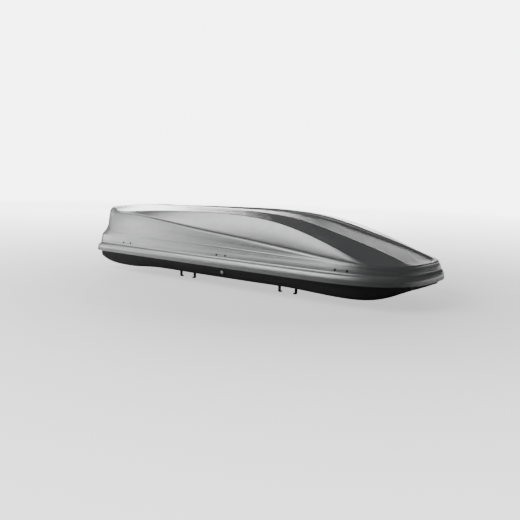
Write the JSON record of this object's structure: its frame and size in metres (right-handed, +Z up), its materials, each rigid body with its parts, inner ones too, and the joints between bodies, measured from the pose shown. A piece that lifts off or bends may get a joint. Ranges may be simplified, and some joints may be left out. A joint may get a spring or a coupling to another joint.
{
  "type": "roof cargo box",
  "caption": "Aerodynamic car roof cargo box: textured grey lid with twin roof ridges, skirt and riveted hinges that opens from either side, over a black tray with bar clamps.",
  "frame": {"origin": "bottom centre of the whole box: mid length, on the centre plane, level with the tips of the clamp claws, 42 mm below the tray's flat underside", "axes": "+X towards the nose, +Y to the box's left, +Z up"},
  "size_m": [1.9788, 0.7744, 0.3928],
  "materials": {
    "lid_plastic": "semi-matte silver grey thermoformed sheet with a fine leather-like grain",
    "base_plastic": "black thermoformed sheet with the same fine grain",
    "galvanised_steel": "zinc plated pressed steel",
    "rivet_black": "black painted rivet heads on a steel backing strip",
    "arm_black": "black powder coat",
    "housing_plastic": "glass filled black plastic",
    "knob_red": "moulded red plastic",
    "pad_rubber": "moulded rubber",
    "lock_chrome": "nickel plated key cylinder",
    "webbing": "woven polyester webbing"
  },
  "bodies": {
    "base": {"base_shell": "base_plastic", "load_plate_rear": "galvanised_steel", "load_plate_front": "galvanised_steel", "load_strap_rear": "webbing", "load_strap_front": "webbing", "strap_buckle_rear": "housing_plastic", "strap_buckle_front": "housing_plastic", "lock_rail_left": "galvanised_steel", "lock_housing_left": "housing_plastic", "spring_hub_left_rear": "arm_black", "clamp_housing_left_rear": "housing_plastic", "bar_pad_left_rear": "pad_rubber", "spring_hub_left_front": "arm_black", "clamp_housing_left_front": "housing_plastic", "bar_pad_left_front": "pad_rubber", "lock_rail_right": "galvanised_steel", "lock_housing_right": "housing_plastic", "spring_hub_right_rear": "arm_black", "clamp_housing_right_rear": "housing_plastic", "bar_pad_right_rear": "pad_rubber", "spring_hub_right_front": "arm_black", "clamp_housing_right_front": "housing_plastic", "bar_pad_right_front": "pad_rubber"},
    "lift_frame_right": {"lifter_arm_right_rear": "arm_black", "lifter_arm_right_front": "arm_black"},
    "lid": {"lid_shell": "lid_plastic", "hinge_bracket_left_rear": "galvanised_steel", "hinge_bracket_left_mid": "galvanised_steel", "hinge_bracket_left_front": "galvanised_steel", "hinge_bracket_right_rear": "galvanised_steel", "hinge_bracket_right_mid": "galvanised_steel", "hinge_bracket_right_front": "galvanised_steel", "rivet_strip_left_rear": "rivet_black", "rivet_strip_left_mid": "rivet_black", "rivet_strip_left_front": "rivet_black", "rivet_strip_right_rear": "rivet_black", "rivet_strip_right_mid": "rivet_black", "rivet_strip_right_front": "rivet_black", "lid_pivot_left_rear": "galvanised_steel", "lid_pivot_left_front": "galvanised_steel", "lid_pivot_right_rear": "galvanised_steel", "lid_pivot_right_front": "galvanised_steel"},
    "lift_frame_left": {"lifter_arm_left_rear": "arm_black", "lifter_arm_left_front": "arm_black"},
    "lock_bar_left": {"lock_bar_left": "galvanised_steel"},
    "lock_cylinder_left": {"lock_cylinder_left": "lock_chrome"},
    "lock_bar_right": {"lock_bar_right": "galvanised_steel"},
    "lock_cylinder_right": {"lock_cylinder_right": "lock_chrome"},
    "clamp_jaw_front_left_rear": {"clamp_jaw_front_left_rear": "arm_black"},
    "clamp_jaw_rear_left_rear": {"clamp_jaw_rear_left_rear": "arm_black"},
    "clamp_knob_left_rear": {"clamp_knob_left_rear": "knob_red"},
    "clamp_jaw_front_right_rear": {"clamp_jaw_front_right_rear": "arm_black"},
    "clamp_jaw_rear_right_rear": {"clamp_jaw_rear_right_rear": "arm_black"},
    "clamp_knob_right_rear": {"clamp_knob_right_rear": "knob_red"},
    "clamp_jaw_front_left_front": {"clamp_jaw_front_left_front": "arm_black"},
    "clamp_jaw_rear_left_front": {"clamp_jaw_rear_left_front": "arm_black"},
    "clamp_knob_left_front": {"clamp_knob_left_front": "knob_red"},
    "clamp_jaw_front_right_front": {"clamp_jaw_front_right_front": "arm_black"},
    "clamp_jaw_rear_right_front": {"clamp_jaw_rear_right_front": "arm_black"},
    "clamp_knob_right_front": {"clamp_knob_right_front": "knob_red"}
  },
  "joints": [
    {"name": "open_left", "type": "hinge", "parent": "base", "child": "lift_frame_right", "pos_m": [0.00916, -0.358, 0.123], "axis": [1, 0, 0], "range_deg": [0, 50]},
    {"name": "open_right", "type": "hinge", "parent": "lift_frame_right", "child": "lid", "pos_m": [0.00916, 0.358, 0.123], "axis": [-1, 0, 0], "range_deg": [0, 50]},
    {"name": "lift_left_arms", "type": "hinge", "parent": "base", "child": "lift_frame_left", "pos_m": [0.00916, 0.358, 0.123], "axis": [-1, 0, 0], "range_deg": [0, 50]},
    {"name": "lock_slide_left", "type": "slide", "parent": "base", "child": "lock_bar_left", "axis": [1, 0, 0], "range_m": [0, 0.018]},
    {"name": "key_turn_left", "type": "hinge", "parent": "base", "child": "lock_cylinder_left", "pos_m": [-0.01334, 0.335, 0.082], "axis": [0, 1, 0], "range_deg": [0, 90]},
    {"name": "lock_slide_right", "type": "slide", "parent": "base", "child": "lock_bar_right", "axis": [1, 0, 0], "range_m": [0, 0.018]},
    {"name": "key_turn_right", "type": "hinge", "parent": "base", "child": "lock_cylinder_right", "pos_m": [-0.01334, -0.335, 0.082], "axis": [0, 1, 0], "range_deg": [0, 90]},
    {"name": "jaw_front_open_left_rear", "type": "hinge", "parent": "base", "child": "clamp_jaw_front_left_rear", "pos_m": [-0.31084, 0.225, 0.0362], "axis": [0, -1, 0], "range_deg": [0, 36]},
    {"name": "jaw_rear_open_left_rear", "type": "hinge", "parent": "base", "child": "clamp_jaw_rear_left_rear", "pos_m": [-0.41084, 0.225, 0.0362], "axis": [0, 1, 0], "range_deg": [0, 36]},
    {"name": "knob_turn_left_rear", "type": "hinge", "parent": "base", "child": "clamp_knob_left_rear", "pos_m": [-0.36084, 0.225, 0.072], "axis": [0, 0, 1], "range_deg": [0, 1080]},
    {"name": "jaw_front_open_right_rear", "type": "hinge", "parent": "base", "child": "clamp_jaw_front_right_rear", "pos_m": [-0.31084, -0.225, 0.0362], "axis": [0, -1, 0], "range_deg": [0, 36]},
    {"name": "jaw_rear_open_right_rear", "type": "hinge", "parent": "base", "child": "clamp_jaw_rear_right_rear", "pos_m": [-0.41084, -0.225, 0.0362], "axis": [0, 1, 0], "range_deg": [0, 36]},
    {"name": "knob_turn_right_rear", "type": "hinge", "parent": "base", "child": "clamp_knob_right_rear", "pos_m": [-0.36084, -0.225, 0.072], "axis": [0, 0, 1], "range_deg": [0, 1080]},
    {"name": "jaw_front_open_left_front", "type": "hinge", "parent": "base", "child": "clamp_jaw_front_left_front", "pos_m": [0.36416, 0.225, 0.0362], "axis": [0, -1, 0], "range_deg": [0, 36]},
    {"name": "jaw_rear_open_left_front", "type": "hinge", "parent": "base", "child": "clamp_jaw_rear_left_front", "pos_m": [0.26416, 0.225, 0.0362], "axis": [0, 1, 0], "range_deg": [0, 36]},
    {"name": "knob_turn_left_front", "type": "hinge", "parent": "base", "child": "clamp_knob_left_front", "pos_m": [0.31416, 0.225, 0.072], "axis": [0, 0, 1], "range_deg": [0, 1080]},
    {"name": "jaw_front_open_right_front", "type": "hinge", "parent": "base", "child": "clamp_jaw_front_right_front", "pos_m": [0.36416, -0.225, 0.0362], "axis": [0, -1, 0], "range_deg": [0, 36]},
    {"name": "jaw_rear_open_right_front", "type": "hinge", "parent": "base", "child": "clamp_jaw_rear_right_front", "pos_m": [0.26416, -0.225, 0.0362], "axis": [0, 1, 0], "range_deg": [0, 36]},
    {"name": "knob_turn_right_front", "type": "hinge", "parent": "base", "child": "clamp_knob_right_front", "pos_m": [0.31416, -0.225, 0.072], "axis": [0, 0, 1], "range_deg": [0, 1080]}
  ],
  "couplings": [
    {"joint": "lift_left_arms", "follows": "open_right", "ratio": 1},
    {"joint": "key_turn_left", "follows": "lock_slide_left", "rad_per_m": 87.2},
    {"joint": "key_turn_right", "follows": "lock_slide_right", "rad_per_m": 87.2},
    {"joint": "jaw_rear_open_left_rear", "follows": "jaw_front_open_left_rear", "ratio": 1},
    {"joint": "knob_turn_left_rear", "follows": "jaw_front_open_left_rear", "ratio": 30},
    {"joint": "jaw_rear_open_right_rear", "follows": "jaw_front_open_right_rear", "ratio": 1},
    {"joint": "knob_turn_right_rear", "follows": "jaw_front_open_right_rear", "ratio": 30},
    {"joint": "jaw_rear_open_left_front", "follows": "jaw_front_open_left_front", "ratio": 1},
    {"joint": "knob_turn_left_front", "follows": "jaw_front_open_left_front", "ratio": 30},
    {"joint": "jaw_rear_open_right_front", "follows": "jaw_front_open_right_front", "ratio": 1},
    {"joint": "knob_turn_right_front", "follows": "jaw_front_open_right_front", "ratio": 30}
  ]
}
